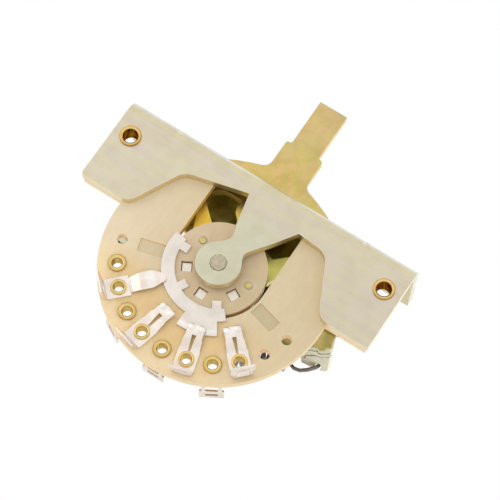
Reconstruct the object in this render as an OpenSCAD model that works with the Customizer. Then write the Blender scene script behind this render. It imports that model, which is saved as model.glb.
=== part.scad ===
// Three-way lever selector switch for an electric guitar, in millimetres.
// The origin is the middle of the mounting face, over the lever's pivot.
// X runs along the bracket, Y from the contact wafer to the detent spring, Z up along the lever.

/* [Bracket] */
// Length of the bracket and of its mounting flange
bracket_len = 53.4; // [51:0.2:60]
// Depth of the mounting flange from the front face
flange_depth = 13.2; // [12.6:0.2:15]
// Thickness of the bracket's steel
bracket_t = 1.6; // [1.4:0.1:1.7]
// Outside radius of the long bend
bend_r = 2.3; // [2:0.1:3]
// Drop from the mounting face to the lever's pivot
pivot_drop = 16.6; // [16.4:0.1:17]
// Height of the ears' lower edge above the pivot
ear_low = 1.1; // [0.5:0.1:2]
// Distance between the two mounting screws
screw_span = 41.3; // [40:0.1:43]
// Radius of a tapped mounting hole
screw_r = 1.4; // [1.2:0.1:1.8]
// Length of the lever's slot in the flange
slot_len = 28.2; // [28:0.2:31]
// Width of the lever's slot in the flange
slot_w = 3; // [2.4:0.1:3.4]
// Radius of the round end of the tongue that carries the shaft
tongue_r = 3.65; // [3:0.05:4]
// How far the tongue is set forward of the front face
tongue_step = 0.9; // [0.8:0.05:1.1]

/* [Lever] */
// Height of the lever's tip above the pivot
lever_reach = 34.4; // [31:0.2:40]
// Height of the shoulders below the tip's blade
shoulder_z = 25.6; // [24.6:0.2:27]
// Width of the blade that carries the knob
tip_w = 5.1; // [4:0.1:6]
// Width of the neck below the shoulders
neck_w = 6.9; // [6.2:0.1:7.1]
// Thickness of the lever's steel
lever_t = 1.5; // [1.2:0.1:1.6]
// Distance from the bracket's front face to the middle of the lever
lever_mid = 5.35; // [5.3:0.05:5.6]
// Radius of the curved guard that fills the slot
guard_r = 20.05; // [19.6:0.05:20.2]
// Half of the guard's angle
guard_half = 62; // [50:1:64]
// Turn of the lever from the middle to either end position
throw = 30; // [20:1:30]

/* [Wafer] */
// Radius of the contact wafer
wafer_r = 19.05; // [18.6:0.05:20]
// Thickness of the wafer
wafer_t = 1.6; // [1.5:0.1:1.7]
// Radius of the wafer's opening round the rotor
opening_r = 8.33; // [8:0.01:8.6]
// How far each wing ends short of the bracket's end
wing_inset = 0.35; // [0:0.05:1.3]
// Distance from the bracket's end to an ear eyelet
ear_inset = 2.95; // [2.5:0.05:3.6]
// Height of the ear eyelets above the pivot
ear_z = 10.7; // [9:0.1:11]
// Radius of the circle of terminal eyelets
ring_r = 15.88; // [15.7:0.01:16]
// Angle between neighbouring holes on that circle
hole_step = 15; // [14.5:0.1:15]

/* [Contacts] */
// Thickness of the contact metal
contact_t = 0.35; // [0.3:0.01:0.38]
// Width of a contact clip at its eyelet
clip_w = 3.4; // [3:0.1:3.6]
// Width across a solder lug's bar
lug_w = 3.9; // [3.6:0.1:4.2]
// Reach of a solder lug from the wafer
lug_reach = 4.8; // [4.5:0.1:7]
// Distance from a clip's eyelet out to its lug
lug_out = 2.5; // [2.3:0.1:2.8]
// Radius at which the finger tips of the clips touch
finger_r = 10.7; // [10.6:0.05:11]
// Radius of the rotor disc
rotor_r = 7.8; // [7.5:0.05:7.9]
// Inner radius of the contact blades
blade_in_r = 6.85; // [6.7:0.05:7]
// Outer radius of the contact blades
blade_out_r = 8.95; // [8.9:0.05:9.1]
// Radius of the blades' contact lobe
lobe_r = 11.36; // [11.2:0.02:11.5]

/* [Eyelets] */
// Inner radius of a terminal eyelet
eyelet_in_r = 0.82; // [0.7:0.02:0.92]
// Wall of an eyelet
eyelet_wall = 0.24; // [0.2:0.02:0.3]
// Radius of a terminal eyelet's flange
eyelet_head_r = 1.46; // [1.42:0.02:1.6]
// Inner radius of an ear eyelet
ear_eyelet_in_r = 1.2; // [1:0.05:1.4]

/* [Detent] */
// Thickness of the rear plate
rear_t = 1.2; // [1:0.1:1.4]
// Radius of the shaft's journals
journal_r = 1.25; // [1.1:0.05:1.4]
// Radius of the shaft between its bearings
shaft_r = 2; // [1.8:0.05:2.3]
// Radius of the cam's lobes
cam_r = 4.6; // [4.4:0.05:4.8]
// Thickness of the cam
cam_t = 1.8; // [1.4:0.1:2]
// Radius of the detent roller
roller_r = 1.7; // [1.5:0.05:1.8]
// Outer diameter of the detent spring
spring_d = 3.2; // [2.9:0.05:3.3]
// Diameter of the spring's wire
wire_d = 0.64; // [0.5:0.02:0.66]
// Distance from one turn of the spring to the next
spring_pitch = 0.95; // [0.92:0.01:1.2]

/* [Hidden] */
$fn = 48;

// Running clearance of a journal in its bearing
run_gap = 0.03;
// Clearance between moving and fixed pieces that pass each other
pass_gap = 0.1;
// Clearance round an eyelet in its hole
eyelet_gap = 0.02;

// Length by which a cutting shape stands clear of what it cuts
over = 1;

// Spans that follow the bracket's length
wing_span = bracket_len - 2 * wing_inset;
ear_span = bracket_len - 2 * ear_inset;

// Depths along Y, measured from the bracket's front face
wafer_y = bracket_t;
wafer_mid = wafer_y + wafer_t / 2;
rotor_over = 0.05;
rotor_y = wafer_y - rotor_over;
rotor_t = wafer_t + 2 * rotor_over;
lever_y = lever_mid - lever_t / 2;
rear_y = flange_depth - rear_t;
cam_y = flange_depth + 0.3;
roller_y = cam_y - 0.05;
groove_y = cam_y + cam_t + 0.9;
groove_w = spring_d + 0.3;
spring_y = groove_y + groove_w / 2;

// Heights above the pivot
flange_top = pivot_drop;
flange_low = pivot_drop - bracket_t;
bend_z = pivot_drop - bend_r;
wing_low = ear_low + 0.1;
wing_top = flange_low - 0.9;
roller_z = -(cam_r + pass_gap + roller_r);
groove_r = roller_r - 0.7;
coil_r = (spring_d - wire_d) / 2;
coil_low = roller_z - groove_r - pass_gap - spring_d / 2;

// Holes along the terminal circle, counted from straight down towards -X
front_common_a = 3 * hole_step;
front_left_a = hole_step;
front_middle_a = -hole_step;
front_right_a = -3 * hole_step;
back_common_a = 4 * hole_step;
back_left_a = 2 * hole_step;
back_middle_a = 0;
back_right_a = -2 * hole_step;
plain_hole_a = [5 * hole_step, -4 * hole_step, -5 * hole_step];
plain_hole_r = 0.85;
eyelet_a = [front_common_a, front_left_a, front_middle_a, front_right_a,
    back_common_a, back_left_a, back_middle_a, back_right_a];
eyelet_out_r = eyelet_in_r + eyelet_wall;

// Outward lean of each solder lug, bent by hand on the real switch
front_common_lean = 8;
front_left_lean = 15;
front_middle_lean = 9.5;
front_right_lean = 0;
back_common_lean = 6;
back_left_lean = 7.5;
back_middle_lean = 5;
back_right_lean = 12;

bracket_steel = [0.83, 0.81, 0.74];
lever_steel = [0.85, 0.75, 0.45];
plate_steel = [0.66, 0.62, 0.36];
phenolic = [0.89, 0.81, 0.66];
silver = [0.92, 0.9, 0.88];
brass = [0.86, 0.68, 0.3];
spring_steel = [0.36, 0.33, 0.31];

// Puts what is drawn about the pivot into the part's own frame
module placed() {
    translate([0, -lever_mid, -pivot_drop]) children();
}

// Plate of thickness t whose front face lies at depth y, from an outline in X and Z
module sheet(y, t) {
    translate([0, y + t, 0]) rotate([90, 0, 0]) linear_extrude(t) children();
}

// Bar along X of a section drawn in Y and Z
module bar(x, length) {
    translate([x, 0, 0]) rotate([90, 0, 90]) linear_extrude(length) children();
}

// Round hole or pin along Y
module along_y(y, length, r) {
    translate([0, y, 0]) rotate([-90, 0, 0]) cylinder(h = length, r = r);
}

// Points of an arc, from angle a to angle b
function arc(centre, r, a, b, steps) =
    [for (i = [0:steps]) centre + r * [cos(a + (b - a) * i / steps), sin(a + (b - a) * i / steps)]];

function unit(v) = v / norm(v);
function turn_angle(v) = atan2(v[1], v[0]);

// Points that round one corner of an outline, at p, between its neighbours a and b
function rounded(a, p, b, r) =
    let (u = unit(a - p), v = unit(b - p))
    let (half = acos(u * v) / 2)
    let (centre = p + unit(u + v) * r / sin(half))
    let (from = turn_angle(p + u * r / tan(half) - centre))
    let (sweep = turn_angle(p + v * r / tan(half) - centre) - from)
    let (short = sweep > 180 ? sweep - 360 : (sweep < -180 ? sweep + 360 : sweep))
    arc(centre, r, from, from + short, 6);

// Outline from corners given as x, z and radius
module rounded_outline(corners) {
    n = len(corners);
    points = [for (i = [0:n - 1])
        let (c = corners[i], a = corners[(i + n - 1) % n], b = corners[(i + 1) % n])
        let (p = [c[0], c[1]])
        each (c[2] == 0 ? [p] : rounded([a[0], a[1]], p, [b[0], b[1]], c[2]))];
    polygon(points);
}

// Corners of the bracket's front face: two ears, two windows and the arm of the tongue
half_len = bracket_len / 2;
ear_line = function (z) 17.74 - (z - ear_low) / 2;
window_z = 10.4;
arm_left = [-2.5, 12.75];
arm_right = [7.7, 11.25];
front_corners = [
    [-half_len, bend_z, 0],
    [-half_len, ear_low, 0.4],
    [-ear_line(ear_low), ear_low, 2.5],
    [-ear_line(window_z), window_z - 0.25, 3],
    [arm_left[0], arm_left[1], 0.2],
    [-1.6, 8.4, 4],
    [-0.5, 4.5, 1.6],
    [-2.8, 2.1, 0],
    [3, 1.9, 0],
    [2.5, 3.4, 1.2],
    [4.7, 6.8, 3],
    [arm_right[0], arm_right[1], 0.2],
    [ear_line(window_z), window_z + 0.45, 3],
    [ear_line(ear_low), ear_low, 2.5],
    [half_len, ear_low, 0.4],
    [half_len, bend_z, 0]];

// The tongue starts below this height and is set forward from there
tongue_top = 7.4;
tongue_flat = 3.9;
tongue_half = 8;

module front_outline() {
    rounded_outline(front_corners);
}

module tongue_region() {
    translate([-tongue_half, -tongue_half]) square([2 * tongue_half, tongue_half + tongue_top]);
}

// Section of the tongue in Y and Z, with its forward step
module tongue_section() {
    polygon([[0, tongue_top], [-tongue_step, tongue_flat], [-tongue_step, -tongue_half],
        [bracket_t - tongue_step, -tongue_half], [bracket_t - tongue_step, tongue_flat],
        [bracket_t, tongue_top]]);
}

// Two small dimples pressed into the long bend
dimple_x = 17.4;
dimple_r = 0.5;
dimple_out = 0.14;
module dimples() {
    crown = bend_r * (1 - sqrt(0.5)) - dimple_out;
    for (side = [-1, 1])
        translate([side * dimple_x, crown, flange_top - crown]) rotate([-45, 0, 0])
            cylinder(h = 4 * bend_r, r = dimple_r, center = true);
}

// Notch and tab where the rear plate hangs from the flange
tab_x = 10.5;
tab_w = 3;
module tab_shape() {
    for (side = [-1, 1])
        translate([side * tab_x - tab_w / 2, flange_low])
            square([tab_w, bracket_t]);
}

module bracket() {
    color(bracket_steel) placed() difference() {
        union() {
            sheet(0, bracket_t) difference() {
                front_outline();
                tongue_region();
            }
            intersection() {
                sheet(-tongue_step, bracket_t + tongue_step) intersection() {
                    union() {
                        front_outline();
                        circle(tongue_r);
                    }
                    tongue_region();
                }
                bar(-tongue_half, 2 * tongue_half) tongue_section();
            }
            bar(-half_len, bracket_len) intersection() {
                translate([bend_r, bend_z]) difference() {
                    circle(bend_r);
                    circle(bend_r - bracket_t);
                }
                translate([0, bend_z]) square(bend_r);
            }
            translate([-half_len, bend_r, flange_low])
                cube([bracket_len, flange_depth - bend_r, bracket_t]);
        }
        translate([0, lever_mid, flange_low - over]) linear_extrude(bracket_t + 2 * over)
            slot_outline();
        for (side = [-1, 1])
            translate([side * screw_span / 2, lever_mid, flange_low - over])
                cylinder(h = bracket_t + 2 * over, r = screw_r);
        for (side = [-1, 1])
            translate([side * ear_span / 2, 0, ear_z])
                along_y(-over, bracket_t + 2 * over, ear_eyelet_out_r + eyelet_gap);
        along_y(-tongue_step - over, bracket_t + 2 * over, journal_r + run_gap);
        dimples();
        // Relief behind the arm, where the rotor turns
        along_y(bracket_t - rotor_over - pass_gap, over, rotor_r + 0.3);
        sheet(rear_y, rear_t + over) tab_shape();
    }
}

module slot_outline() {
    end = slot_len / 2 - slot_w / 2;
    square([2 * end, slot_w], center = true);
    for (side = [-1, 1]) translate([side * end, 0]) circle(slot_w / 2);
}

// Rear plate: hangs from the flange, carries the shaft's rear bearing and the spring's two arms
arm_out_x = 19.95;
arm_in_x = 15.2;
arm_z = 4.3;
rear_bore_r = journal_r + run_gap;
pin_r = 1;
// The plate is a little wider than each arm where the arm leaves it
root_in = arm_in_x - 0.3;
root_out = arm_out_x + 0.3;
rear_corners = [
    [-13.5, flange_low, 0], [-13.5, 11.5, 2], [-root_out, 9.5, 1.5], [-root_out, arm_z, 0],
    [-root_in, arm_z, 0], [-root_in, 7, 1.5], [-7.2, 5, 2], [-6.4, -3, 2], [-3.4, -9.5, 1],
    [3.4, -9.5, 1], [6.4, -3, 2], [7.2, 5, 2], [root_in, 7, 1.5], [root_in, arm_z, 0],
    [root_out, arm_z, 0], [root_out, 9.5, 1.5], [13.5, 11.5, 2], [13.5, flange_low, 0]];

// One spring arm, bent back and down from the rear plate's lower edge
arm_slope = 38.5;
hook_s = 6.16;
hook_x = 19.56;
hook_hole_r = 0.62;
arm_len = hook_s + 1.4;
arm_root = 1.5;
arm_dir = [cos(arm_slope), -sin(arm_slope)];
arm_out = [-sin(arm_slope), -cos(arm_slope)];

// Section of the arm in Y and Z, from the inner corner of its bend
module arm_section() {
    polygon(concat([[-rear_t, arm_root], [0, arm_root], [0, 0], arm_len * arm_dir,
        arm_len * arm_dir + rear_t * arm_out], arc([0, 0], rear_t, 270 - arm_slope, 180, 6)));
}

module arm_outline() {
    polygon([[arm_in_x, -3], [arm_out_x, -3], [arm_out_x, 0.5], [20.2, 1.9], [21.18, 5.75], [20.95, 6.15],
        [19.44, 6.85], [16.8, 7.05], [16.3, hook_s], [arm_in_x + 0.4, 3], [arm_in_x, 0.5]]);
}

module spring_arm() {
    translate([0, rear_y + rear_t, arm_z]) intersection() {
        bar(arm_in_x, 6) arm_section();
        rotate([-arm_slope, 0, 0]) translate([0, 0, -4]) linear_extrude(8) difference() {
            arm_outline();
            translate([hook_x, hook_s]) circle(hook_hole_r);
        }
    }
}

module rear_plate() {
    color(plate_steel) placed() {
        difference() {
            sheet(rear_y, rear_t) union() {
                rounded_outline(rear_corners);
                tab_shape();
            }
            along_y(rear_y - over, rear_t + 2 * over, rear_bore_r);
            sheet(rear_y - over, rear_t + 2 * over) pin_slot();
        }
        spring_arm();
        mirror([1, 0, 0]) spring_arm();
    }
}

// Upright slot in which the roller's pin is guided
module pin_slot() {
    translate([0, roller_z + 1.2]) circle(pin_r + run_gap);
    translate([-pin_r - run_gap, -12]) square([2 * (pin_r + run_gap), 12 + roller_z + 1.2]);
}

// Wafer of laminated phenolic, with the two wings that lie behind the bracket's ears
mark_w = 2.2;
mark_in_r = 8.75;
mark_out_r = 13.1;
mark_a = [75, -75];
mark_depth = 0.15;
module wafer() {
    color(phenolic) placed() difference() {
        sheet(wafer_y, wafer_t) difference() {
            union() {
                intersection() {
                    circle(wafer_r, $fn = 96);
                    translate([-wafer_r, -wafer_r]) square([2 * wafer_r, wafer_r + wing_top]);
                }
                translate([-wing_span / 2, wing_low]) square([wing_span, wing_top - wing_low]);
            }
            circle(opening_r, $fn = 96);
            translate([-opening_r, 0]) square([2 * opening_r, wafer_r]);
        }
        for (a = eyelet_a) wafer_hole(a, eyelet_out_r + eyelet_gap);
        for (a = plain_hole_a) wafer_hole(a, plain_hole_r);
        for (side = [-1, 1])
            translate([side * ear_span / 2, 0, ear_z])
                along_y(wafer_y - over, wafer_t + 2 * over, ear_eyelet_out_r + eyelet_gap);
        for (a = mark_a)
            at_angle(a) translate([-mark_w / 2, wafer_y - over, -mark_out_r])
                cube([mark_w, over + mark_depth, mark_out_r - mark_in_r]);
    }
}

module wafer_hole(a, r) {
    at_angle(a) translate([0, 0, -ring_r]) along_y(wafer_y - over, wafer_t + 2 * over, r);
}

// Section of an eyelet: a tube with a wide flange at one end and a rolled one at the other
module eyelet_section(in_r, wall, head_r, roll_r, length) {
    lip = 0.3;
    out_r = in_r + wall;
    difference() {
        union() {
            translate([in_r, -lip]) square([wall, length + 2 * lip]);
            translate([in_r, -lip]) square([head_r - in_r - lip / 2, lip]);
            translate([head_r - lip / 2, -lip / 2]) circle(lip / 2);
            translate([in_r, length]) square([roll_r - in_r - lip / 2, lip]);
            translate([roll_r - lip / 2, length + lip / 2]) circle(lip / 2);
        }
        // The funnel of each mouth
        translate([in_r, -lip]) rotate(45) square(wall * 0.9, center = true);
        translate([in_r, length + lip]) rotate(45) square(wall * 0.9, center = true);
    }
}

module eyelet(in_r, wall, head_r, roll_r, length) {
    rotate([-90, 0, 0]) rotate_extrude() eyelet_section(in_r, wall, head_r, roll_r, length);
}

ear_eyelet_wall = 0.34;
ear_eyelet_out_r = ear_eyelet_in_r + ear_eyelet_wall;
ear_eyelet_head_r = 1.78;
module ear_eyelet(side) {
    color(brass) placed() translate([side * ear_span / 2, 0, ear_z])
        eyelet(ear_eyelet_in_r, ear_eyelet_wall, ear_eyelet_head_r, ear_eyelet_head_r, bracket_t + wafer_t);
}

// Turns a piece that is drawn on the wafer's front so that it sits on the back
module on_back() {
    translate([0, 2 * wafer_mid, 0]) mirror([0, 1, 0]) children();
}

// Turns a piece that is drawn straight below the pivot to angle a
module at_angle(a) {
    rotate([0, a, 0]) children();
}

eyelet_roll_r = eyelet_head_r - 0.16;
module terminal_eyelet(a) {
    stack = wafer_t + contact_t;
    at_angle(a) translate([0, wafer_y + wafer_t, -ring_r]) mirror([0, 1, 0])
        eyelet(eyelet_in_r, eyelet_wall, eyelet_head_r, eyelet_roll_r, stack);
}

// Solder lug, bent forward at a clip's outer end: two legs and a wide bar with a wire slot
lug_bend = 0.2;
lug_out_r = lug_bend + contact_t;
lug_body_w = clip_w - 0.2;
lug_leg_w = 0.6;
lug_bar_h = 1.9;
lug_root = 0.5;
wire_slot = [2, 0.8];

// Section of the lug in Y and Z, about the middle of its bend
module lug_section(lean, length) {
    turn = 90 - lean;
    along = [-sin(turn), -cos(turn)];
    out = [cos(turn), -sin(turn)];
    polygon(concat([[lug_bend, lug_root], [lug_out_r, lug_root]], arc([0, 0], lug_out_r, 0, -turn, 5),
        [lug_out_r * out + length * along, lug_bend * out + length * along],
        arc([0, 0], lug_bend, -turn, 0, 5)));
}

// The lug laid flat, its end at -length
module lug_outline(length) {
    window = length - lug_bar_h - 0.4;
    difference() {
        union() {
            translate([-lug_body_w / 2, -length]) square([lug_body_w, length + lug_out_r + over]);
            translate([-lug_w / 2, -length]) square([lug_w, lug_bar_h]);
        }
        translate([-wire_slot[0] / 2, 0.55 - length]) square(wire_slot);
        translate([lug_leg_w - lug_body_w / 2, lug_bar_h - length])
            square([lug_body_w - 2 * lug_leg_w, window]);
    }
}

module solder_lug(lean) {
    bend_y = wafer_y - lug_out_r;
    length = bend_y - (wafer_y - lug_reach);
    translate([0, bend_y, lug_out_r - ring_r - lug_out]) intersection() {
        bar(-lug_w, 2 * lug_w) lug_section(lean, length);
        rotate([lean, 0, 0]) translate([0, 0, -2 * over]) linear_extrude(4 * over) lug_outline(length);
    }
}

// Contact finger: rises off the wafer and runs in over the blade
finger_y = wafer_y - rotor_over - contact_t - pass_gap - contact_t;
rise_gap = 0.48;
rise_r = ring_r - eyelet_roll_r - rise_gap;
rise_len = 1.6;
module finger_section(tip_r) {
    flat_y = wafer_y - contact_t;
    polygon([[wafer_y, -rise_r - lug_root], [flat_y, -rise_r - lug_root], [flat_y, -rise_r],
        [finger_y, rise_len - rise_r], [finger_y, -tip_r], [finger_y + contact_t, -tip_r],
        [finger_y + contact_t, rise_len - rise_r], [wafer_y, -rise_r]]);
}

// Flat of a clip round its eyelet, with the hole for the eyelet
module clip_flat() {
    out_r = ring_r + lug_out - lug_out_r;
    sheet(wafer_y - contact_t, contact_t)
        translate([-clip_w / 2, -out_r]) square([clip_w, out_r - rise_r]);
}

module eyelet_hole() {
    translate([0, 0, -ring_r]) along_y(wafer_y - 2 * over, 4 * over, eyelet_out_r + eyelet_gap);
}

// Two fingers with a slot between them that widens toward their joined tips
finger_half = clip_w / 2 - 0.1;
finger_knee = finger_half - 0.1;
finger_waist = finger_half - 0.22;
finger_x = 0.85;
bead_r = 0.72;
slot_out_r = rise_r + 0.35;
slot_out_half = 0.16;
slot_in_r = 11.9;
slot_in_half = 0.34;
tip_in_r = finger_r - 0.55;
module finger_outline() {
    knee = rise_len - rise_r;
    polygon([[-finger_half, -rise_r - 1], [finger_half, -rise_r - 1], [finger_half, -rise_r],
        [finger_knee, knee], [finger_waist, knee + 0.2], [finger_waist, -tip_in_r],
        [-finger_waist, -tip_in_r], [-finger_waist, knee + 0.2], [-finger_knee, knee],
        [-finger_half, -rise_r]]);
}

module finger_slot() {
    polygon([[-slot_out_half, -slot_out_r], [slot_out_half, -slot_out_r],
        [slot_in_half, -slot_in_r], [-slot_in_half, -slot_in_r]]);
}

module switching_clip(a, lean) {
    at_angle(a) difference() {
        union() {
            clip_flat();
            solder_lug(lean);
            intersection() {
                bar(-clip_w, 2 * clip_w) finger_section(tip_in_r - over);
                sheet(finger_y - over, 4 * over) finger_outline();
            }
            // The beads that touch the blade's lobe
            for (side = [-1, 1]) difference() {
                translate([side * finger_x, finger_y + contact_t, -finger_r]) sphere(bead_r, $fn = 24);
                translate([side * finger_x - over, finger_y + contact_t / 2, -finger_r - over])
                    cube(2 * over);
            }
        }
        eyelet_hole();
        sheet(wafer_y - 2 * over, 4 * over) finger_slot();
    }
}

// Common clip: one long leaf that always rides on the blade's ring
leaf_w = 2.5;
leaf_tip_r = 8.3;
leaf_corners = [
    [-leaf_w / 2, -rise_r - 1, 0], [-leaf_w / 2, 0.2 - rise_r, 0], [-leaf_w / 2 - 0.3, -12.2, 2],
    [-leaf_w / 2 - 0.3, -10.2, 2], [-0.6, -leaf_tip_r, 0.5], [0.5, -leaf_tip_r, 0.5],
    [leaf_w / 2 + 0.1, -10.6, 2], [leaf_w / 2 + 0.1, -12.4, 2], [leaf_w / 2, 0.2 - rise_r, 0],
    [leaf_w / 2, -rise_r - 1, 0]];
ridge_r = 0.2;
module common_clip(a, lean) {
    at_angle(a) difference() {
        union() {
            clip_flat();
            solder_lug(lean);
            intersection() {
                bar(-clip_w, 2 * clip_w) finger_section(leaf_tip_r - over);
                sheet(finger_y - over, 4 * over) rounded_outline(leaf_corners);
            }
            // Ridge across the root of the leaf
            intersection() {
                bar(0.1 - leaf_w / 2, leaf_w - 0.2)
                    translate([wafer_y - contact_t, 0.1 - rise_r]) circle(ridge_r);
                sheet(finger_y, wafer_y - finger_y - contact_t / 2)
                    translate([-clip_w, -ring_r]) square([2 * clip_w, ring_r]);
            }
        }
        eyelet_hole();
    }
}

// Rotor disc, with the square holes that the back blade's tabs come through
tenon_at = [[-4.6, 2.65], [5.55, 0.2]];
tenon_r = 0.6;
back_tab_a = [61, 0, -61];
back_tab_r = 4.95;
back_tab_w = 1.5;
tab_hole_w = 1.75;
module rotor() {
    color(phenolic) placed() difference() {
        along_y(rotor_y, rotor_t, rotor_r, $fn = 96);
        along_y(rotor_y - over, rotor_t + 2 * over, shaft_r + eyelet_gap);
        for (p = tenon_at)
            translate([p[0], 0, p[1]]) along_y(rotor_y - over, rotor_t + 2 * over, tenon_r + eyelet_gap);
        for (a = back_tab_a)
            at_angle(a) translate([-tab_hole_w / 2, rotor_y - over, -back_tab_r - tab_hole_w / 2])
                cube([tab_hole_w, rotor_t + 2 * over, tab_hole_w]);
    }
}

// Part of a ring between radii in_r and out_r, and between angles a and b from straight down
module ring_sector(in_r, out_r, a, b) {
    steps = 24;
    polygon(concat(arc([0, 0], out_r, -90 - a, -90 - b, steps), arc([0, 0], in_r, -90 - b, -90 - a, steps)));
}

// Inward tab of a blade at angle a
module blade_tab(a, in_r, w) {
    rotate(-a) translate([-w / 2, -blade_in_r - 0.5]) square([w, blade_in_r + 0.5 - in_r]);
}

front_lobe_a = front_middle_a;
front_tab_a = [90, 30, -31];
front_tab_r = 5.5;
ring_start_a = 100;
front_ring_end_a = -41;
back_ring_end_a = -75;
lobe_half = 17;
module front_blade() {
    color(silver) placed() sheet(rotor_y - contact_t, contact_t) {
        ring_sector(blade_in_r, blade_out_r, ring_start_a, front_ring_end_a);
        ring_sector(blade_in_r, lobe_r, front_lobe_a + lobe_half, front_lobe_a - lobe_half);
        for (a = front_tab_a) blade_tab(a, front_tab_r, 1.45);
    }
}

module back_blade() {
    tab_rise = 1.2;
    color(silver) placed() {
        sheet(rotor_y + rotor_t, contact_t) {
            ring_sector(blade_in_r, blade_out_r, ring_start_a, back_ring_end_a);
            ring_sector(blade_in_r, lobe_r, back_middle_a + lobe_half, back_middle_a - lobe_half);
            for (a = back_tab_a) blade_tab(a, back_tab_r - back_tab_w / 2, back_tab_w);
        }
        for (a = back_tab_a)
            at_angle(a)
                translate([-back_tab_w / 2, rotor_y + rotor_t - tab_rise, -back_tab_r - back_tab_w / 2])
                    cube([back_tab_w, tab_rise, back_tab_w]);
    }
}

// Lever: blade for the knob, neck, curved guard with two windows, hub and two tenons.
// The guard's outline is drawn for a radius of 20.05 and follows the guard's radius.
hub_r = 7.2;
guard_fit = guard_r / 20.05;
guard_window = guard_fit * [
    [-8.7, 12.7, 2.3], [-3.3, 12.7, 0.5], [-3.9, 11.6, 0.8], [-3.6, 10.5, 0.8], [-2.4, 9.3, 0.8],
    [-2.4, 7.9, 0.4], [-5.75, 6.95, 0.4], [-8.6, 9.5, 0.6]];
guard_foot = guard_fit * [[7.2, 3], [8.75, 7.2], [9.7, 7.75]];
module lever_outline() {
    neck = neck_w / 2;
    tip = tip_w / 2;
    foot_x = neck + guard_fit * 3.5;
    foot_z = guard_r - guard_fit * 1.2;
    difference() {
        union() {
            rounded_outline([
                [-tip, lever_reach, 0.15], [-tip, shoulder_z, 0.3], [-neck, shoulder_z, 0.5],
                [-neck, guard_r + 0.1, 1.6], [-foot_x, foot_z, 0], [foot_x, foot_z, 0],
                [neck, guard_r + 0.1, 1.6], [neck, shoulder_z, 0.5], [tip, shoulder_z, 0.3],
                [tip, lever_reach, 0.15]]);
            intersection() {
                circle(guard_r, $fn = 180);
                polygon(concat(guard_foot, [for (a = [guard_half:-guard_half / 8:-guard_half])
                    1.5 * guard_r * [sin(a), cos(a)]],
                    [for (i = [2:-1:0]) [-guard_foot[i][0], guard_foot[i][1]]]));
            }
            circle(hub_r);
        }
        rounded_outline(guard_window);
        mirror([1, 0]) rounded_outline(guard_window);
    }
}

module lever() {
    color(lever_steel) placed() {
        difference() {
            sheet(lever_y, lever_t) lever_outline();
            along_y(lever_y - over, lever_t + 2 * over, shaft_r);
        }
        for (p = tenon_at) translate([p[0], 0, p[1]]) {
            along_y(rotor_y - 0.12, lever_y - rotor_y + 0.2, tenon_r);
            along_y(rotor_y + rotor_t, lever_y - rotor_y - rotor_t + 0.1, tenon_r + 0.3);
        }
    }
}

// Shaft: turns with the lever in the tongue and in the rear plate
module shaft() {
    back_tongue = bracket_t - tongue_step;
    shoulder_y = back_tongue + pass_gap;
    rear_shoulder_y = rear_y - pass_gap;
    color(silver) placed() {
        along_y(-tongue_step - 0.1, shoulder_y + tongue_step + 0.1, journal_r);
        along_y(shoulder_y, rear_shoulder_y - shoulder_y, shaft_r);
        along_y(rear_shoulder_y, cam_y - rear_shoulder_y, journal_r);
        along_y(cam_y, cam_t + 0.3, journal_r - 0.15);
    }
}

// Cam with the three detent notches, staked on the shaft behind the rear plate
notch_r = 1.8;
cam_hub_r = 2.9;
cam_half = 52;
module detent_cam() {
    color(plate_steel) placed() difference() {
        sheet(cam_y, cam_t) difference() {
            union() {
                circle(cam_hub_r);
                intersection() {
                    circle(cam_r, $fn = 96);
                    polygon([[0, 0], [-9 * sin(cam_half), -9 * cos(cam_half)], [0, -12],
                        [9 * sin(cam_half), -9 * cos(cam_half)]]);
                }
            }
            for (a = [-throw, 0, throw])
                rotate(a) translate([0, -cam_r - notch_r + 0.7]) circle(notch_r);
        }
        along_y(cam_y - over, cam_t + 2 * over, journal_r - 0.15);
    }
}

// Roller that the spring holds up against the cam, with its guide pin and its groove
module detent_roller() {
    head_gap = 0.3;
    head_t = 0.7;
    groove_end = groove_y + groove_w;
    color(silver) placed() translate([0, 0, roller_z]) {
        along_y(rear_y - head_gap - head_t, head_t, pin_r + 0.6);
        along_y(rear_y - head_gap - 0.1, roller_y - rear_y + head_gap + 0.2, pin_r);
        along_y(roller_y, groove_y - roller_y, roller_r);
        along_y(groove_y - 0.1, groove_w + 0.2, groove_r);
        along_y(groove_end, 0.6, roller_r);
    }
}

// Middle line of the spring: an arc under the roller and a straight run to each arm
spring_bend_r = 6;
spring_slope = 26.5;
coil_half_len = 16.3;
function spring_mid(s) =
    let (bend_s = spring_bend_r * spring_slope * PI / 180)
    let (side = s < 0 ? -1 : 1, d = abs(s))
    let (a = min(d, bend_s) / spring_bend_r * 180 / PI)
    let (rest = max(0, d - bend_s))
    [side * (spring_bend_r * sin(a) + rest * cos(spring_slope)), spring_y,
        coil_low + spring_bend_r * (1 - cos(a)) + rest * sin(spring_slope)];
function spring_dir(s) =
    let (bend_s = spring_bend_r * spring_slope * PI / 180)
    let (a = max(-spring_slope, min(spring_slope, s / bend_s * spring_slope)))
    [cos(a), 0, sin(a)];

// Point of the helix at distance s along the middle line
coil_steps = 12;
coil_turns = round(2 * coil_half_len / spring_pitch);
function coil_point(i) =
    let (s = -coil_half_len + 2 * coil_half_len * i / (coil_steps * coil_turns))
    let (d = spring_dir(s), a = 90 + 360 * i / coil_steps)
    spring_mid(s) + coil_r * (cos(a) * [0, 1, 0] + sin(a) * cross([0, 1, 0], d) * -1);

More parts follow.
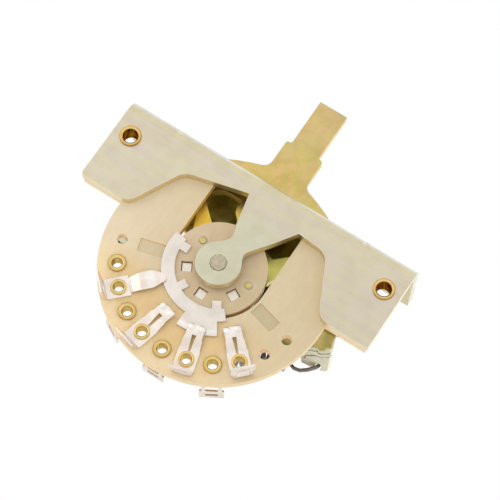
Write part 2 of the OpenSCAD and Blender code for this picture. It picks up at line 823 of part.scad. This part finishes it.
// Hook at the right end, from the last turn through the hole in the arm
hook_y = rear_y + rear_t + cos(arm_slope) * hook_s - sin(arm_slope) * rear_t / 2;
hook_z = arm_z - sin(arm_slope) * hook_s - cos(arm_slope) * rear_t / 2;
function hook_points(side) = [
    [side * 15.5, spring_y - 0.1, -2.35],
    [side * 16.4, spring_y - 0.2, -2.65],
    [side * 17.4, spring_y - 0.4, -2.5],
    [side * 18.4, hook_y - 0.4, -1.85],
    [side * 19.2, hook_y - 0.55, hook_z - 1],
    [side * (hook_x - 0.05), hook_y - 0.3, hook_z - 0.4],
    [side * hook_x, hook_y, hook_z],
    [side * (hook_x - 0.1), hook_y + 0.5, hook_z + 0.7]];
function reversed(list) = [for (i = [len(list) - 1:-1:0]) list[i]];
wire_points = concat(reversed(hook_points(-1)),
    [for (i = [0:coil_steps * coil_turns]) coil_point(i)],
    hook_points(1));

// Tube along a list of points; its rings are carried along without twisting
wire_sides = 6;
module wire(points, r) {
    n = len(points);
    dirs = [for (i = [0:n - 1]) unit(points[min(i + 1, n - 1)] - points[max(i - 1, 0)])];
    first = unit(cross(dirs[0], [0.3, 0.5, 0.8]));
    sides = [for (i = 0, v = first; i < n;
        i = i + 1, v = i < n ? unit(v - (v * dirs[i]) * dirs[i]) : v) v];
    rings = [for (i = [0:n - 1], k = [0:wire_sides - 1])
        points[i] + r * (cos(360 * k / wire_sides) * sides[i]
            + sin(360 * k / wire_sides) * cross(dirs[i], sides[i]))];
    walls = [for (i = [0:n - 2], k = [0:wire_sides - 1])
        let (k2 = (k + 1) % wire_sides, a = i * wire_sides, b = (i + 1) * wire_sides)
        each [[a + k, b + k, b + k2], [a + k, b + k2, a + k2]]];
    start = [for (k = [0:wire_sides - 1]) k];
    finish = [for (k = [wire_sides - 1:-1:0]) (n - 1) * wire_sides + k];
    polyhedron(rings, concat([start], walls, [finish]));
}

module detent_spring() {
    color(spring_steel) placed() wire(wire_points, wire_d / 2);
}

module front_common_clip() {
    color(silver) placed() common_clip(front_common_a, front_common_lean);
}

module back_common_clip() {
    color(silver) placed() on_back() common_clip(back_common_a, back_common_lean);
}

module front_clip(a, lean) {
    color(silver) placed() switching_clip(a, lean);
}

module back_clip(a, lean) {
    color(silver) placed() on_back() switching_clip(a, lean);
}

module front_eyelet(a) {
    color(brass) placed() terminal_eyelet(a);
}

module back_eyelet(a) {
    color(brass) placed() on_back() terminal_eyelet(a);
}

bracket();
rear_plate();
wafer();
ear_eyelet(-1);  // ear_eyelet_left
ear_eyelet(1);  // ear_eyelet_right
front_common_clip();
front_clip(front_left_a, front_left_lean);  // front_clip_left
front_clip(front_middle_a, front_middle_lean);  // front_clip_middle
front_clip(front_right_a, front_right_lean);  // front_clip_right
back_common_clip();
back_clip(back_left_a, back_left_lean);  // back_clip_left
back_clip(back_middle_a, back_middle_lean);  // back_clip_middle
back_clip(back_right_a, back_right_lean);  // back_clip_right
front_eyelet(front_common_a);  // front_common_eyelet
front_eyelet(front_left_a);  // front_eyelet_left
front_eyelet(front_middle_a);  // front_eyelet_middle
front_eyelet(front_right_a);  // front_eyelet_right
back_eyelet(back_common_a);  // back_common_eyelet
back_eyelet(back_left_a);  // back_eyelet_left
back_eyelet(back_middle_a);  // back_eyelet_middle
back_eyelet(back_right_a);  // back_eyelet_right
detent_spring();
detent_roller();
lever();
shaft();
rotor();
front_blade();
back_blade();
detent_cam();
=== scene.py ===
import bpy
from mathutils import Matrix, Vector


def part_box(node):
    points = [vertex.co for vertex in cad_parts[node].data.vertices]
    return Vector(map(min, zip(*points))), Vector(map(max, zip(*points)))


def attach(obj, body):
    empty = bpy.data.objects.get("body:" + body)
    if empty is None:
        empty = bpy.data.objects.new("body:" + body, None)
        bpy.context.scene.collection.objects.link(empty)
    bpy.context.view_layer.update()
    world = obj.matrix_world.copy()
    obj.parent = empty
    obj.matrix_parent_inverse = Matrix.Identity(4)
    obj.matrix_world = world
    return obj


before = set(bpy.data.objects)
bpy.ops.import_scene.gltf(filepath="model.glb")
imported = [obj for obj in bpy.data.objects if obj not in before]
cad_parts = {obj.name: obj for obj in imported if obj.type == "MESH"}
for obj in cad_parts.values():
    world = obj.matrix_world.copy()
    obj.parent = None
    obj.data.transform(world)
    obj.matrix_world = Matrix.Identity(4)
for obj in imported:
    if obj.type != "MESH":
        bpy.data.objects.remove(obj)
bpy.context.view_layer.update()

SCENE = bpy.context.scene
SCENE.view_settings.view_transform = "Standard"

# Camera: the photograph's view, from the front, a little below the mounting face, and rolled

CAMERA_AT = (0.06326, -0.31199, -0.11420)
RIGHT = Vector((0.83965, -0.01568, 0.54290))
UP = Vector((-0.51105, -0.36120, 0.77997))
BACK = Vector((0.18387, -0.93235, -0.31130))

camera = bpy.data.objects.new("camera", bpy.data.cameras.new("camera"))
SCENE.collection.objects.link(camera)
camera.matrix_world = Matrix.Translation(CAMERA_AT) @ Matrix((RIGHT, UP, BACK)).transposed().to_4x4()
camera.data.sensor_width = 36
camera.data.lens = 151.44
camera.data.clip_start = 0.01
SCENE.camera = camera

# Surroundings: white background and reflections, a plain pale room, soft lamps and a pale floor


def node(tree, kind, **values):
    made = tree.nodes.new(kind)
    for name, value in values.items():
        if name in made.inputs:
            made.inputs[name].default_value = value
        else:
            setattr(made, name, value)
    return made


ROOM_COLOUR = (1.0, 0.985, 0.955, 1)
ROOM_STRENGTH = 0.92

world = bpy.data.worlds.new("studio")
SCENE.world = world
world.use_nodes = True
sky = world.node_tree
sky.nodes.clear()
path = node(sky, "ShaderNodeLightPath")
camera_or_glass = node(sky, "ShaderNodeMath", operation="MAXIMUM")
sky.links.new(path.outputs["Is Camera Ray"], camera_or_glass.inputs[0])
sky.links.new(path.outputs["Is Transmission Ray"], camera_or_glass.inputs[1])
seen = node(sky, "ShaderNodeMath", operation="MAXIMUM")
sky.links.new(camera_or_glass.outputs[0], seen.inputs[0])
sky.links.new(path.outputs["Is Glossy Ray"], seen.inputs[1])
room = node(sky, "ShaderNodeBackground", Color=ROOM_COLOUR, Strength=ROOM_STRENGTH)
white = node(sky, "ShaderNodeBackground", Color=(1, 1, 1, 1), Strength=1.0)
either = node(sky, "ShaderNodeMixShader")
sky_out = node(sky, "ShaderNodeOutputWorld")
sky.links.new(seen.outputs[0], either.inputs[0])
sky.links.new(room.outputs[0], either.inputs[1])
sky.links.new(white.outputs[0], either.inputs[2])
sky.links.new(either.outputs[0], sky_out.inputs["Surface"])

CENTRE = Vector((0, 0, -0.012))
LAMP_DISTANCE = 0.60


def area_light(name, direction, size, power, colour=(1, 1, 1)):
    data = bpy.data.lights.new(name, "AREA")
    data.shape = "SQUARE"
    data.size = size
    data.energy = power
    data.color = colour
    lamp = bpy.data.objects.new(name, data)
    SCENE.collection.objects.link(lamp)
    at = CENTRE + direction.normalized() * LAMP_DISTANCE
    lamp.matrix_world = Matrix.Translation(at) @ (at - CENTRE).to_track_quat("Z", "Y").to_matrix().to_4x4()


area_light("key_light", BACK * 0.6 + UP * 0.8 - RIGHT * 0.9, 0.60, 0.55, (1, 0.985, 0.95))
area_light("low_light", BACK * 0.6 - UP * 1.0 - RIGHT * 0.4, 0.60, 0.90, (1, 0.98, 0.94))
area_light("rear_light", Vector((0.3, 1.0, 0.6)), 0.60, 0.40)

FLOOR_Z = -0.34
FLOOR_HALF = 2
FLOOR_LIFT = 0.2
floor_mesh = bpy.data.meshes.new("floor")
floor_mesh.from_pydata([(x * FLOOR_HALF, y * FLOOR_HALF, FLOOR_Z) for x, y in ((-1, -1), (1, -1), (1, 1), (-1, 1))],
                       [], [(0, 1, 2, 3)])
floor = bpy.data.objects.new("floor", floor_mesh)
SCENE.collection.objects.link(floor)
floor_paint = bpy.data.materials.new("floor_paint")
floor_paint.use_nodes = True
ground = floor_paint.node_tree
floor_shader = ground.nodes["Principled BSDF"]
floor_shader.inputs["Base Color"].default_value = (0.9, 0.9, 0.89, 1)
floor_shader.inputs["Roughness"].default_value = 0.8
floor_path = node(ground, "ShaderNodeLightPath")
mirrored = node(ground, "ShaderNodeMath", operation="MAXIMUM")
ground.links.new(floor_path.outputs["Is Glossy Ray"], mirrored.inputs[0])
ground.links.new(floor_path.outputs["Is Transmission Ray"], mirrored.inputs[1])
lift = node(ground, "ShaderNodeMath", operation="MULTIPLY")
ground.links.new(floor_path.outputs["Is Camera Ray"], lift.inputs[0])
lift.inputs[1].default_value = FLOOR_LIFT
floor_lift = node(ground, "ShaderNodeEmission", Color=(1, 1, 1, 1))
ground.links.new(lift.outputs[0], floor_lift.inputs["Strength"])
lifted = ground.nodes.new("ShaderNodeAddShader")
ground.links.new(floor_shader.outputs[0], lifted.inputs[0])
ground.links.new(floor_lift.outputs[0], lifted.inputs[1])
floor_glow = node(ground, "ShaderNodeEmission", Color=(1, 1, 1, 1), Strength=1.0)
floor_mix = node(ground, "ShaderNodeMixShader")
ground.links.new(mirrored.outputs[0], floor_mix.inputs[0])
ground.links.new(lifted.outputs[0], floor_mix.inputs[1])
ground.links.new(floor_glow.outputs[0], floor_mix.inputs[2])
ground.links.new(floor_mix.outputs[0], ground.nodes["Material Output"].inputs["Surface"])
floor_mesh.materials.append(floor_paint)

# Materials. Colours are written as a picture shows them, 0 to 255, and places in mm.

PIVOT = (0, -16.6)
TENONS = ((-4.6, -13.95), (5.55, -16.4))


def paint(*levels):
    """Linear colour of a picture's red, green and blue."""
    return tuple(c / 3294.6 if c <= 10.3 else ((c / 255 + 0.055) / 1.055) ** 2.4 for c in levels)


class Finish:
    """A Principled material whose colour, roughness and bump follow the part's own places in mm."""

    def __init__(self, name, metallic, specular=0.5):
        self.material = bpy.data.materials.new(name)
        self.material.use_nodes = True
        self.tree = self.material.node_tree
        self.shader = self.tree.nodes["Principled BSDF"]
        self.shader.inputs["Metallic"].default_value = metallic
        self.shader.inputs["Specular IOR Level"].default_value = specular
        scaled = node(self.tree, "ShaderNodeVectorMath", operation="SCALE", Scale=1000)
        self.link(self.tree.nodes.new("ShaderNodeTexCoord").outputs["Object"], scaled.inputs[0])
        self.place = scaled.outputs[0]
        self.normal = None

    def link(self, value, socket):
        """Joins an output to a socket, or sets the socket to a number or colour."""
        if isinstance(value, bpy.types.NodeSocket):
            self.tree.links.new(value, socket)
        elif isinstance(value, tuple):
            socket.default_value = (*value, 1)
        else:
            socket.default_value = value

    def noise(self, scale, detail=3.0, stretch=(1, 1, 1), rough=0.55):
        mapping = node(self.tree, "ShaderNodeMapping", Scale=stretch)
        self.link(self.place, mapping.inputs["Vector"])
        made = node(self.tree, "ShaderNodeTexNoise", Scale=scale, Detail=detail, Roughness=rough)
        self.link(mapping.outputs[0], made.inputs["Vector"])
        return made.outputs["Fac"]

    def through(self, value, stops):
        """Colour ramp over value; stops are (position, colour)."""
        made = self.tree.nodes.new("ShaderNodeValToRGB")
        elements = made.color_ramp.elements
        while len(elements) < len(stops):
            elements.new(0.5)
        for element, (at, colour) in zip(elements, stops):
            element.position = at
            element.color = (*colour, 1)
        self.link(value, made.inputs["Fac"])
        return made.outputs["Color"]

    def level(self, value, low, high):
        """Value mapped from low[0]..high[0] to low[1]..high[1]."""
        made = node(self.tree, "ShaderNodeMapRange", interpolation_type="SMOOTHSTEP")
        self.link(value, made.inputs["Value"])
        for socket, number in zip(("From Min", "To Min", "From Max", "To Max"), (*low, *high)):
            made.inputs[socket].default_value = number
        return made.outputs["Result"]

    def blend(self, factor, a, b, mode="MIX"):
        made = self.tree.nodes.new("ShaderNodeMix")
        made.data_type = "RGBA"
        made.blend_type = mode
        # Sockets 0, 6 and 7 are the factor and the two colours
        for value, place in ((factor, 0), (a, 6), (b, 7)):
            self.link(value, made.inputs[place])
        return made.outputs[2]

    def times(self, a, b):
        made = node(self.tree, "ShaderNodeMath", operation="MULTIPLY")
        self.link(a, made.inputs[0])
        self.link(b, made.inputs[1])
        return made.outputs[0]

    def from_line(self, x, z):
        """Distance from the line along Y through x and z."""
        flat = node(self.tree, "ShaderNodeVectorMath", operation="MULTIPLY")
        self.link(self.place, flat.inputs[0])
        flat.inputs[1].default_value = (1, 0, 1)
        made = node(self.tree, "ShaderNodeVectorMath", operation="DISTANCE")
        self.link(flat.outputs[0], made.inputs[0])
        made.inputs[1].default_value = (x, 0, z)
        return made.outputs["Value"]

    def along(self, direction):
        """Place along a direction."""
        made = node(self.tree, "ShaderNodeVectorMath", operation="DOT_PRODUCT")
        self.link(self.place, made.inputs[0])
        made.inputs[1].default_value = Vector(direction).normalized()
        return made.outputs["Value"]

    def mirror_sides(self):
        """Takes the left side's places as the right side's."""
        apart = self.tree.nodes.new("ShaderNodeSeparateXYZ")
        self.link(self.place, apart.inputs[0])
        side = node(self.tree, "ShaderNodeMath", operation="ABSOLUTE")
        self.link(apart.outputs["X"], side.inputs[0])
        joined = self.tree.nodes.new("ShaderNodeCombineXYZ")
        for value, name in ((side.outputs[0], "X"), (apart.outputs["Y"], "Y"), (apart.outputs["Z"], "Z")):
            self.link(value, joined.inputs[name])
        self.place = joined.outputs[0]

    def faces_front(self, low, high):
        """1 where the surface faces the front or the back, 0 on its cut sides."""
        facing = node(self.tree, "ShaderNodeVectorMath", operation="DOT_PRODUCT")
        self.link(self.tree.nodes.new("ShaderNodeNewGeometry").outputs["True Normal"], facing.inputs[0])
        facing.inputs[1].default_value = (0, 1, 0)
        size = node(self.tree, "ShaderNodeMath", operation="ABSOLUTE")
        self.link(facing.outputs["Value"], size.inputs[0])
        return self.level(size.outputs[0], (low, 0), (high, 1))

    def roughened(self, value, scale, reach):
        """Value pushed up and down by noise, so that a mask's outline is uneven."""
        shift = self.level(self.noise(scale, 2.0), (0.3, -reach), (0.7, reach))
        made = node(self.tree, "ShaderNodeMath", operation="ADD")
        self.link(value, made.inputs[0])
        self.link(shift, made.inputs[1])
        return made.outputs[0]

    def band(self, value, low, high, soft):
        """1 where value lies between low and high, with soft ends."""
        return self.times(self.level(value, (low - soft, 0), (low + soft, 1)),
                          self.level(value, (high - soft, 1), (high + soft, 0)))

    def edge(self, radius):
        """1 along the part's edges."""
        rounded = node(self.tree, "ShaderNodeBevel", Radius=radius / 1000, samples=6)
        facing = node(self.tree, "ShaderNodeVectorMath", operation="DOT_PRODUCT")
        self.link(rounded.outputs[0], facing.inputs[0])
        self.link(self.tree.nodes.new("ShaderNodeNewGeometry").outputs["Normal"], facing.inputs[1])
        return self.level(facing.outputs["Value"], (0.82, 1), (0.99, 0))

    def soften(self, radius):
        """Rounds the edges for the light."""
        self.normal = node(self.tree, "ShaderNodeBevel", Radius=radius / 1000, samples=6).outputs[0]
        self.link(self.normal, self.shader.inputs["Normal"])

    def bump(self, value, strength, distance):
        made = node(self.tree, "ShaderNodeBump", Strength=strength, Distance=distance / 1000)
        self.link(value, made.inputs["Height"])
        if self.normal is not None:
            self.link(self.normal, made.inputs["Normal"])
        self.normal = made.outputs["Normal"]
        self.link(self.normal, self.shader.inputs["Normal"])

    def colour(self, value):
        self.link(value, self.shader.inputs["Base Color"])

    def roughness(self, value):
        self.link(value, self.shader.inputs["Roughness"])


def tinted(f, base, tints, scale, part):
    """A base colour that drifts through tints."""
    drift = f.noise(scale, 2.0, (1, 1, 0.7))
    steps = [(0.25 + 0.5 * i / (len(tints) - 1), tint) for i, tint in enumerate(tints)]
    return f.blend(part, base, f.through(drift, steps))


def metal_surface(f, colour, rough, grain_stretch=(0.12, 1, 1), spots=0.86, edge_tint=paint(226, 220, 208),
                  dull=(0.90, 0.89, 0.87)):
    """Rolled or turned metal: grain, faint blotches, dark specks, pits and brighter worn edges."""
    blotch = f.blend(f.level(f.noise(0.42, 4.0), (0.35, 1), (0.62, 0)), colour, dull, "MULTIPLY")
    speck = f.level(f.noise(1.9, 2.0), (0.70, 0), (0.76, 1 - spots))
    specked = f.blend(speck, blotch, paint(90, 78, 60))
    worn = f.times(f.edge(0.12), f.level(f.noise(1.2, 3.0), (0.40, 0), (0.60, 0.8)))
    f.colour(f.blend(worn, specked, edge_tint))
    grain = f.noise(0.9, 3.0, grain_stretch)
    f.roughness(f.level(grain, (0.3, rough[0]), (0.7, rough[1])))
    f.soften(0.10)
    f.bump(grain, 0.12, 0.04)
    f.bump(f.noise(2.6, 2.0), 0.14, 0.02)
    return f.material


def bracket_finish():
    f = Finish("bracket_zinc", 1.0)
    tints = [paint(213, 209, 188), paint(219, 206, 192), paint(218, 208, 182), paint(214, 209, 196)]
    colour = tinted(f, paint(219, 210, 189), tints, 0.13, 0.55)
    streak = f.level(f.noise(0.9, 2.0, (0.06, 1, 1)), (0.40, 0), (0.62, 0.5))
    colour = f.blend(streak, colour, paint(222, 214, 178))
    bend = f.along((0, 0, 1))
    # Painted reflection on the flange's bend: a yellowish band and, above it, a pale bluish-white line
    colour = f.blend(f.times(f.band(bend, -1.9, -1.1, 0.25), 0.6), colour, paint(222, 214, 166))
    colour = f.blend(f.times(f.band(bend, -0.9, -0.35, 0.2), 0.6), colour, paint(232, 232, 226))
    pivot = f.from_line(*PIVOT)
    colour = f.blend(f.level(pivot, (7, 0.75), (13, 0)), colour, paint(211, 211, 184))
    outline = f.roughened(pivot, 2.5, 0.06)
    colour = f.blend(f.times(f.band(outline, 1.29, 1.38, 0.04), 0.8), colour, paint(140, 126, 96))
    # Painted highlight: the cut edges below the flange are painted pale, as if lit from below
    cut = f.times(f.level(f.faces_front(0.2, 0.5), (0, 1), (1, 0)), f.level(bend, (-3, 1), (-2.2, 0)))
    colour = f.blend(cut, colour, paint(243, 230, 192))
    return metal_surface(f, colour, (0.36, 0.50), edge_tint=paint(232, 226, 206), dull=(0.95, 0.94, 0.93))


def lever_finish():
    f = Finish("yellow_zinc", 1.0)
    reach = f.level(f.from_line(*PIVOT), (0, 0), (70, 1))
    colour = f.through(reach, [(0.06, paint(222, 190, 92)), (0.22, paint(214, 188, 96)), (0.30, paint(212, 196, 122)),
                               (0.42, paint(218, 192, 134)), (0.56, paint(216, 194, 136)), (0.75, paint(212, 196, 112)),
                               (0.95, paint(212, 196, 126))])
    tints = [paint(204, 200, 100), paint(220, 190, 126), paint(224, 186, 146), paint(200, 200, 120)]
    colour = tinted(f, colour, tints, 0.26, 0.55)
    fine = f.through(f.noise(0.9, 4.0), [(0.40, paint(200, 196, 106)), (0.60, paint(224, 194, 138))])
    colour = f.blend(0.35, colour, fine)
    hub = f.level(f.from_line(*PIVOT), (11, 1), (14, 0))
    # Painted reflection: the lever's face right of the pivot is painted lime, where the yellow parts round it mirror
    lime_reflection = f.times(hub, f.level(f.along((1, 0, 0)), (1, 0), (5, 0.75)))
    colour = f.blend(lime_reflection, colour, paint(208, 212, 114))
    # Painted bounce light: the lever's face left of the pivot is painted a saturated gold, as light thrown back by the
    # yellow parts into its shade
    gold_bounce_light = f.times(hub, f.level(f.along((-1, 0, 0)), (1, 0), (5, 0.7)))
    colour = f.blend(gold_bounce_light, colour, paint(250, 208, 58))
    for x, z in TENONS:
        spot = f.from_line(x, z)
        star = f.level(f.roughened(spot, 2.6, 0.30), (0.34, 0), (0.46, 1))
        tenon = f.blend(star, paint(216, 200, 118), paint(196, 176, 140))
        colour = f.blend(f.times(f.level(spot, (0.6, 1), (0.7, 0)), f.level(f.along((0, -1, 0)), (1.6, 0), (2.0, 1))),
                         colour, tenon)
    return metal_surface(f, colour, (0.30, 0.44), (1, 1, 0.12), edge_tint=paint(222, 206, 160))


REAR_MIDDLE = 7.25
# Place across the arm where the painted lit end and the painted bend lines begin
ARM_BEND = 24.47
ARM_ACROSS = (0.567, 0.645, -0.513)


def rear_finish():
    f = Finish("olive_zinc", 1.0)
    f.mirror_sides()
    tints = [paint(156, 144, 82), paint(184, 164, 96), paint(168, 156, 98), paint(178, 154, 80)]
    colour = tinted(f, paint(172, 156, 92), tints, 0.20, 0.8)
    # Painted sheen: a lighter highlight band down each arm
    sheen = f.band(f.roughened(f.along((1, 0, 0.25)), 0.6, 0.25), 13.4, 14.6, 0.7)
    colour = f.blend(f.times(sheen, 0.6), colour, paint(204, 186, 120))
    # Painted shade and painted reflections: the middle of the front face, which shows through the lever's windows, is a
    # greener olive, darker with lighter clouds
    front = f.level(f.along((0, 1, 0)), (REAR_MIDDLE - 0.2, 1), (REAR_MIDDLE + 0.2, 0))
    window = f.times(f.level(f.along((1, 0, 0)), (8.5, 0.7), (11, 0)), front)
    window_shade_and_reflections = f.through(f.noise(0.3, 2.0), [(0.42, paint(128, 128, 60)), (0.60, paint(196, 192, 116))])
    colour = f.blend(window, colour, window_shade_and_reflections)
    # Painted light: the arm's lower end is painted pale, as lit, and the two dark lines across it are painted
    # reflections of a bend
    across = f.roughened(f.along(ARM_ACROSS), 0.5, 0.35)
    lit_low_end = f.level(across, (ARM_BEND - 0.25, 0), (ARM_BEND + 0.15, 0.9))
    colour = f.blend(lit_low_end, colour, paint(226, 221, 198))
    for offset in (0.35, 1.25):
        line = f.band(across, ARM_BEND + offset, ARM_BEND + offset + 0.14, 0.05)
        colour = f.blend(f.times(line, 0.85), colour, paint(58, 56, 40))
    return metal_surface(f, colour, (0.26, 0.42), edge_tint=paint(206, 198, 160))


def turned_finish():
    f = Finish("turned_steel", 1.0)
    colour = tinted(f, paint(212, 200, 176), [paint(218, 206, 184), paint(198, 186, 162), paint(220, 210, 188)], 0.9, 0.9)
    return metal_surface(f, colour, (0.46, 0.66), (1, 0.15, 1))


def silver_finish(name, base, tints, glare_radii):
    """Silver plate with a painted highlight: a near-white band of glare between two distances from the pivot."""
    f = Finish(name, 1.0)
    colour = tinted(f, base, tints, 0.2, 0.7)
    # Painted highlight: glare on the fingertips and blades, painted as a near-white band
    painted_glare = f.band(f.from_line(*PIVOT), *glare_radii, 0.4)
    colour = f.blend(f.times(painted_glare, 0.8), colour, paint(255, 251, 246))
    return metal_surface(f, colour, (0.26, 0.38), spots=0.97, edge_tint=paint(240, 230, 218))


def brass_finish(name, x, z, bore, rim, tints, bore_shade_colours, wall_sheen):
    """Brass of an eyelet at x and z, with a painted highlight line round its bore, a painted shade line at its rim, and
    bore walls painted darker as shade.
    """
    f = Finish(name, 1.0)
    colour = tinted(f, tints[0], tints, 0.5, 0.8)
    out = f.from_line(x, z)
    # Painted highlight round the bore and painted shade at the rim, for the light on the flange's curl
    colour = f.blend(f.times(f.band(out, bore + 0.10, bore + 0.24, 0.05), 0.7), colour, paint(244, 226, 168))
    colour = f.blend(f.level(out, (rim - 0.20, 0), (rim - 0.08, 0.75)), colour, paint(188, 146, 70))
    # Bore walls painted darker, as shade inside the bore
    wall = f.level(out, (bore + 0.02, 0), (bore + 0.08, 1))
    inner = f.through(f.noise(1.4, 4.0, (1, 0.3, 1)), [(0.38, bore_shade_colours[0]), (0.62, bore_shade_colours[1])])
    colour = f.blend(wall, inner, colour)
    f.link(f.blend(wall, wall_sheen, paint(255, 250, 240)), f.shader.inputs["Specular Tint"])
    return metal_surface(f, colour, (0.24, 0.36), spots=1.0, edge_tint=paint(236, 214, 150))


def spring_finish():
    f = Finish("music_wire", 1.0)
    colour = tinted(f, paint(132, 124, 116), [paint(120, 112, 104), paint(146, 138, 128), paint(128, 120, 114)], 0.5, 0.6)
    return metal_surface(f, colour, (0.30, 0.45), edge_tint=paint(160, 152, 142))


def phenolic_surface(f, colour):
    """Laminated phenolic: mottled paper laminate with fine fibres and a soft sheen."""
    fibre = f.level(f.noise(1.5, 4.0, (1, 1, 0.35)), (0.3, 0), (0.7, 1))
    f.colour(f.blend(fibre, f.blend(1.0, colour, (0.955, 0.95, 0.94), "MULTIPLY"), colour))
    f.roughness(f.level(f.noise(0.7, 3.0), (0.3, 0.42), (0.7, 0.58)))
    f.soften(0.08)
    f.bump(f.noise(1.8, 3.0), 0.08, 0.02)
    f.shader.inputs["Subsurface Weight"].default_value = 0.15
    f.shader.inputs["Subsurface Radius"].default_value = (0.0016, 0.0011, 0.0005)
    f.shader.inputs["Subsurface Scale"].default_value = 1.0
    return f.material


MARK_ACROSS = ((-0.2588, 0, 0.9659), (0.2588, 0, 0.9659))
MARK_IN, MARK_OUT = 8.75, 13.1
MARK_HALF = 1.1


def wafer_finish():
    f = Finish("wafer_phenolic", 0.0, 0.4)
    colour = f.through(f.noise(0.12, 3.0), [(0.3, paint(228, 209, 174)), (0.5, paint(229, 211, 177)),
                                            (0.7, paint(233, 214, 181))])
    # The left side is painted lighter and pinker: partly the laminate's own tone, partly painted light falling from the
    # left
    colour = f.blend(f.level(f.along((-1, 0, 0)), (8, 0), (18, 0.8)), colour, paint(240, 225, 197))
    # Painted shade and bounce light: an orange-tan band low down between the clips
    rim = f.roughened(f.from_line(*PIVOT), 0.35, 1.5)
    below = f.level(f.along((0, 0, -1)), (20, 0), (25.5, 1))
    colour = f.blend(f.times(f.times(f.band(rim, 9.5, 17.5, 1.5), below), 0.75), colour, paint(242, 208, 146))
    # Painted light: the lowest rim is painted paler, against the shadows that the lugs cast on it
    colour = f.blend(f.times(f.times(f.level(rim, (15, 0), (17, 1)), below), 0.7), colour, paint(254, 229, 186))
    # The right side is painted greyer: partly the laminate's own tone, partly painted shade away from the light
    colour = f.blend(f.level(f.along((1, 0, 0)), (4, 0), (16, 0.8)), colour, paint(222, 205, 170))
    pivot = f.from_line(*PIVOT)
    for side, across, strength in ((-1, MARK_ACROSS[0], 0.42), (1, MARK_ACROSS[1], 0.85)):
        middle = Vector((0, PIVOT[1])).dot(Vector((across[0], across[2])))
        stripe = f.band(f.along(across), middle - MARK_HALF, middle + MARK_HALF, 0.06)
        half = f.level(f.along((side, 0, 0)), (6, 0), (6.5, strength))
        patch = f.times(f.times(stripe, f.band(pivot, MARK_IN, MARK_OUT, 0.06)), half)
        colour = f.blend(patch, colour, paint(202, 190, 152))
    # Painted reflection and highlight on the cut edges: golden inside, mirroring the yellow lever, and pale outside, as
    # if lit from below
    inside = f.level(pivot, (13.5, 1), (14.5, 0))
    cut = f.blend(inside, paint(252, 224, 180), paint(255, 206, 96))
    colour = f.blend(f.faces_front(0.2, 0.6), cut, colour)
    return phenolic_surface(f, colour)


def rotor_finish():
    f = Finish("rotor_phenolic", 0.0, 0.4)
    colour = f.through(f.noise(0.25, 3.0), [(0.3, paint(221, 199, 168)), (0.5, paint(218, 196, 162)),
                                            (0.7, paint(224, 202, 173))])
    colour = f.blend(f.level(f.along((1, 0, -0.4)), (7.5, 0), (13.5, 0.7)), colour, paint(212, 194, 155))
    for x, z in TENONS:
        ring = f.band(f.roughened(f.from_line(x, z), 1.5, 0.2), 0.72, 1.12, 0.15)
        colour = f.blend(f.times(ring, 0.55), colour, paint(226, 212, 184))
    return phenolic_surface(f, colour)


ZINC = bracket_finish()
LEVER = lever_finish()
OLIVE = rear_finish()
TURNED = turned_finish()
# Distances from the pivot of the painted glare on the clips and on the blades
CLIP_GLARE = (9.98, 11.48)
BLADE_GLARE = (10.38, 11.08)
SILVER = silver_finish("silver_clips", paint(246, 233, 220),
                       [paint(248, 235, 222), paint(242, 232, 222), paint(249, 237, 226)], CLIP_GLARE)
BLADE = silver_finish("silver_blades", paint(238, 229, 218),
                      [paint(240, 230, 218), paint(234, 227, 218), paint(242, 232, 220)], BLADE_GLARE)
WIRE = spring_finish()
WAFER = wafer_finish()
ROTOR = rotor_finish()

# Bore radius, tints of the rim, colours of the bore painted darker as shade, and what it mirrors at a slant
EAR_BRASS = (1.2, (paint(238, 196, 122), paint(228, 184, 96), paint(246, 206, 146)),
             (paint(104, 82, 54), paint(150, 120, 80)), paint(156, 126, 86))
TERMINAL_BRASS = (0.82, (paint(230, 202, 126), paint(222, 188, 104), paint(236, 212, 146)),
                  (paint(192, 164, 114), paint(212, 188, 138)), paint(228, 204, 152))

PAINT = {"bracket": ZINC, "rear_plate": OLIVE, "lever": LEVER, "wafer": WAFER, "rotor": ROTOR,
         "shaft": TURNED, "detent_roller": TURNED, "detent_cam": TURNED, "detent_spring": WIRE}
for name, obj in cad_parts.items():
    if "eyelet" in name:
        low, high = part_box(name)
        rim = (high[0] - low[0]) * 500
        bore, *brass = EAR_BRASS if name.startswith("ear") else TERMINAL_BRASS
        finish = brass_finish(f"{name}_brass", (low[0] + high[0]) * 500, (low[2] + high[2]) * 500, bore, rim, *brass)
    elif "clip" in name:
        finish = SILVER
    elif "blade" in name:
        finish = BLADE
    else:
        finish = PAINT[name]
    for slot in obj.material_slots:
        slot.material = finish

# Inner corner of each spring arm, which shows through the last plain hole. It lies in the arm's
# own slope, X and distance down the arm in mm, and meets the arm's inner edge.

ARM_START = Vector((0, 7.85, -12.3))
ARM_DOWN = Vector((0, 0.7826, -0.6225))
ARM_OUT = Vector((0, -0.6225, -0.7826))
WEB_OUTLINE = ((15.6, 0.7), (12.4, 1.0), (11.8, 1.7), (11.8, 5.4), (12.3, 6.1), (16.6, 6.4), (15.9, 3.2))
WEB_FACES = (0.03, 1.17)


def arm_web(side):
    points = [(ARM_START + Vector((side * x, 0, 0)) + ARM_DOWN * down + ARM_OUT * depth) / 1000
              for depth in WEB_FACES for x, down in WEB_OUTLINE]
    count = len(WEB_OUTLINE)
    faces = [tuple(range(count)), tuple(range(2 * count - 1, count - 1, -1))]
    faces += [(i, (i + 1) % count, (i + 1) % count + count, i + count) for i in range(count)]
    return points, [face if side > 0 else face[::-1] for face in faces]


def corner_webs():
    right_points, right_faces = arm_web(1)
    left_points, left_faces = arm_web(-1)
    shift = len(right_points)
    mesh = bpy.data.meshes.new("rear_plate_corners")
    mesh.from_pydata(right_points + left_points, [],
                     right_faces + [tuple(i + shift for i in face) for face in left_faces])
    piece = bpy.data.objects.new("rear_plate_corners", mesh)
    SCENE.collection.objects.link(piece)
    mesh.materials.append(OLIVE)
    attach(piece, "frame")


corner_webs()
